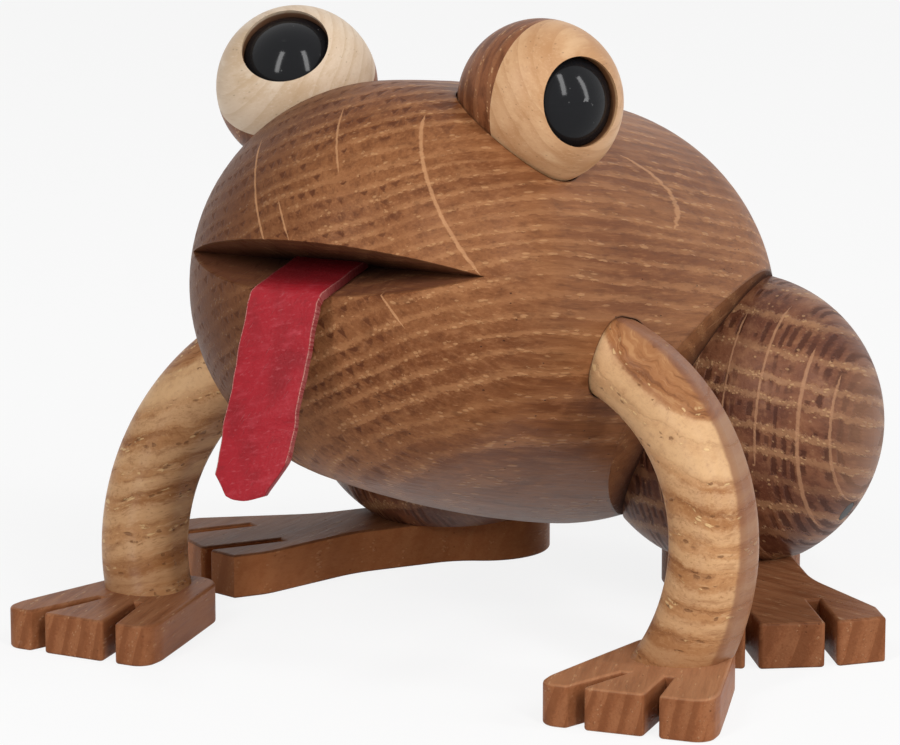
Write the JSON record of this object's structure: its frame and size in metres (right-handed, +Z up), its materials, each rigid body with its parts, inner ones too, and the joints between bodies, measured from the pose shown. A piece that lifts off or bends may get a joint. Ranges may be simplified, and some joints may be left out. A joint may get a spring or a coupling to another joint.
{
  "type": "frog figurine",
  "caption": "Wooden frog sitting on four sawn feet: turned egg body with a wedge mouth, ball eyes that turn on pegs, ball thighs, hoop arms and a leather tongue.",
  "frame": {"origin": "on the ground, under the middle of the figure's bounding box", "axes": "+X towards the frog's left side, +Y towards its tail, +Z up; it faces -Y"},
  "size_m": [0.1204, 0.1306, 0.0912],
  "materials": {
    "oak_body": "oiled oak, fine turned surface",
    "oak_thigh": "oiled dark oak, fine turned surface",
    "oak_arm": "oiled pale oak, sanded edges",
    "oak_foot": "oiled oak, sawn and sanded",
    "oak_eye": "oiled dark oak",
    "maple": "oiled maple",
    "black_gloss": "polished",
    "black_plug": "satin",
    "red_leather": "dyed leather with raw edges",
    "beech_dowel": "plain beech",
    "steel_peg": "plain"
  },
  "bodies": {
    "frog": {"body": "oak_body", "tongue": "red_leather", "left_eye_peg": "beech_dowel", "left_arm": "oak_arm", "left_shoulder_dowel": "beech_dowel", "left_wrist_dowel": "beech_dowel", "left_front_foot": "oak_foot", "left_rear_foot": "oak_foot", "left_thigh": "oak_thigh", "left_thigh_plug": "black_plug", "left_thigh_peg": "steel_peg", "left_ankle_dowel": "beech_dowel", "right_eye_peg": "beech_dowel", "right_arm": "oak_arm", "right_shoulder_dowel": "beech_dowel", "right_wrist_dowel": "beech_dowel", "right_front_foot": "oak_foot", "right_rear_foot": "oak_foot", "right_thigh": "oak_thigh", "right_thigh_plug": "black_plug", "right_thigh_peg": "steel_peg", "right_ankle_dowel": "beech_dowel"},
    "left_eye": {"left_eye_front": "maple", "left_eye_back": "oak_eye", "left_pupil": "black_gloss"},
    "right_eye": {"right_eye_front": "maple", "right_eye_back": "oak_eye", "right_pupil": "black_gloss"}
  },
  "joints": [
    {"name": "left_eye_turn", "type": "hinge", "parent": "frog", "child": "left_eye", "pos_m": [0.01896, -0.01932, 0.07981], "axis": [0.5814, 0.1851, 0.7923], "continuous": true},
    {"name": "right_eye_turn", "type": "hinge", "parent": "frog", "child": "right_eye", "pos_m": [-0.01896, -0.01932, 0.07981], "axis": [-0.5814, 0.1851, 0.7923], "continuous": true}
  ]
}
